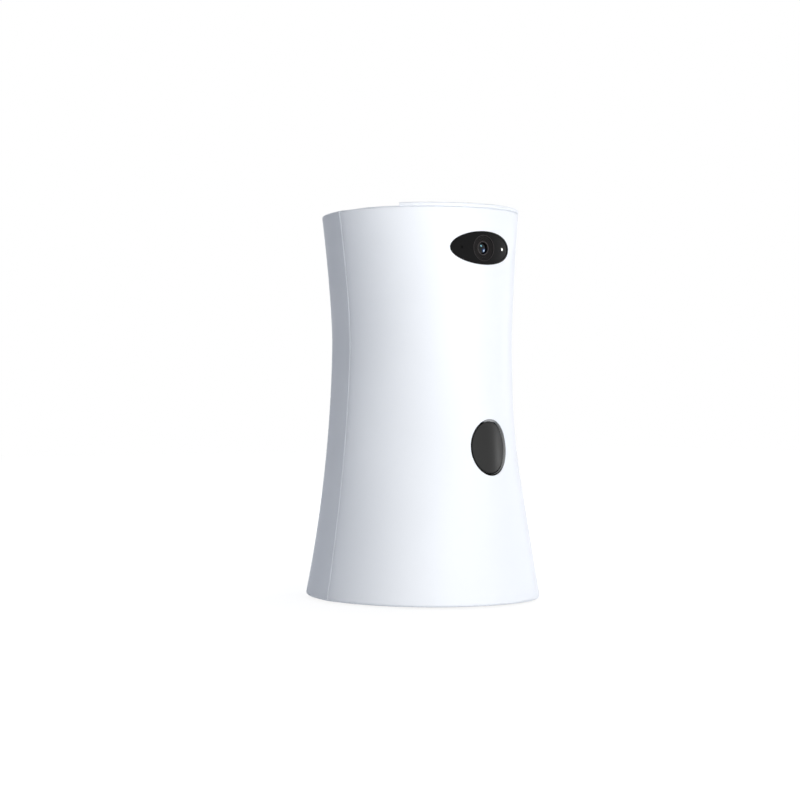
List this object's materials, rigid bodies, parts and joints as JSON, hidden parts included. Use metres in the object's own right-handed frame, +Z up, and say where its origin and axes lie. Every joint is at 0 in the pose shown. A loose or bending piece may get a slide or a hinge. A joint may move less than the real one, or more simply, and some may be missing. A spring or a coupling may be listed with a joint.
{
  "type": "treat tossing pet camera",
  "caption": "White hourglass pet camera tower that turns on a round base, with a camera window near the top, a treat hopper under a lid and an oval treat outlet low in front.",
  "frame": {"origin": "on the floor, on the turning axis at the middle of the base", "axes": "+Z up along the turning axis; -Y is the front with the camera window and the treat outlet; +X is the side on the right in a front view"},
  "size_m": [0.1272, 0.1446, 0.225],
  "materials": {
    "shell_white": "fine satin moulding",
    "lid_white": "fine satin moulding",
    "foot_rubber": "matt",
    "ballast_iron": "painted grey",
    "slider_plastic": "unfilled acetal",
    "steel": "bright turned",
    "screw_steel": "zinc plated",
    "socket_steel": "bright",
    "frame_plastic": "dark grey moulding",
    "bracket_steel": "zinc plated sheet",
    "motor_can": "satin",
    "board_green": "solder mask",
    "component_black": "moulded",
    "hopper_plastic": "smooth food-safe moulding",
    "wheel_plastic": "smooth food-safe moulding",
    "outlet_dark": "dark satin",
    "window_dark": "high gloss, dark tinted",
    "gasket_black": "matt",
    "lens_black": "satin ring",
    "lens_clear": "coated",
    "light_pipe": "frosted",
    "microphone_grey": "matt",
    "camera_frame": "black moulding",
    "cone_paper": "coated paper"
  },
  "bodies": {
    "base": {"base_tray": "shell_white", "foot_pad": "foot_rubber", "ballast_plate": "ballast_iron", "power_socket": "socket_steel", "power_board": "board_green", "base_screws": "screw_steel", "centre_spindle": "steel", "sun_gear": "slider_plastic", "retaining_ring": "steel", "thrust_ring": "slider_plastic"},
    "tower": {"front_shell": "shell_white", "rear_shell": "shell_white", "turntable_plate": "frame_plastic", "spindle_bush": "slider_plastic", "pan_bracket": "bracket_steel", "pan_motor": "motor_can", "deck_pillars": "frame_plastic", "mid_deck": "frame_plastic", "chassis_left": "frame_plastic", "chassis_right": "frame_plastic", "main_board": "board_green", "board_components": "component_black", "hopper_deck": "frame_plastic", "wheel_motor": "motor_can", "hopper": "hopper_plastic", "treat_chute": "hopper_plastic", "launch_tray": "hopper_plastic", "cam_axle": "steel", "launch_motor": "motor_can", "launch_bracket": "bracket_steel", "flicker_spring": "steel", "outlet_bezel": "outlet_dark", "flap_pin": "steel", "flap_spring": "steel", "camera_window": "window_dark", "window_gasket": "gasket_black", "lens_ring": "lens_black", "lens_barrel": "lens_black", "lens_glass": "lens_clear", "camera_board": "board_green", "status_light": "light_pipe", "microphone": "microphone_grey", "camera_bracket": "camera_frame", "speaker_frame": "camera_frame", "speaker_cone": "cone_paper", "frame_screws": "screw_steel", "small_screws": "screw_steel"},
    "pan_pinion": {"pan_pinion": "slider_plastic"},
    "wheel": {"dispense_wheel": "wheel_plastic", "stirrer": "wheel_plastic"},
    "cam": {"snail_cam": "slider_plastic", "cam_gear": "slider_plastic"},
    "launch_pinion": {"launch_pinion": "slider_plastic"},
    "thrower": {"flicker": "wheel_plastic", "tail_lever": "wheel_plastic", "tail_roller": "slider_plastic", "flicker_pin": "steel"},
    "flap": {"outlet_flap": "outlet_dark"},
    "lid": {"lid_cap": "lid_white", "lid_seal": "foot_rubber"}
  },
  "joints": [
    {"name": "pan", "type": "hinge", "parent": "base", "child": "tower", "pos_m": [0, 0, 0.02], "axis": [0, 0, 1], "range_deg": [-180, 180]},
    {"name": "pan_pinion_spin", "type": "hinge", "parent": "tower", "child": "pan_pinion", "pos_m": [0, 0.032, 0.022], "axis": [0, 0, 1], "range_deg": [-560, 560]},
    {"name": "wheel_spin", "type": "hinge", "parent": "tower", "child": "wheel", "pos_m": [0, 0, 0.15], "axis": [0, 0, 1], "continuous": true},
    {"name": "cam_spin", "type": "hinge", "parent": "tower", "child": "cam", "pos_m": [0.021, 0.002, 0.095], "axis": [1, 0, 0], "range_deg": [0, 300]},
    {"name": "launch_pinion_spin", "type": "hinge", "parent": "tower", "child": "launch_pinion", "pos_m": [0.021, 0.026, 0.095], "axis": [1, 0, 0], "range_deg": [-1220, 20]},
    {"name": "thrower_swing", "type": "hinge", "parent": "tower", "child": "thrower", "pos_m": [0, -0.01, 0.106], "axis": [1, 0, 0], "range_deg": [-0.5, 41]},
    {"name": "flap_swing", "type": "hinge", "parent": "tower", "child": "flap", "pos_m": [0, -0.0627, 0.0957], "axis": [-1, 0, 0], "range_deg": [0, 36], "stiffness_Nm_per_rad": 0.0004},
    {"name": "lid_lift", "type": "slide", "parent": "tower", "child": "lid", "axis": [0, 0, 1], "range_m": [0, 0.045]}
  ],
  "couplings": [
    {"joint": "pan_pinion_spin", "follows": "pan", "ratio": 3},
    {"joint": "launch_pinion_spin", "follows": "cam_spin", "ratio": -4},
    {"joint": "thrower_swing", "follows": "cam_spin", "ratio": 0.13333}
  ]
}
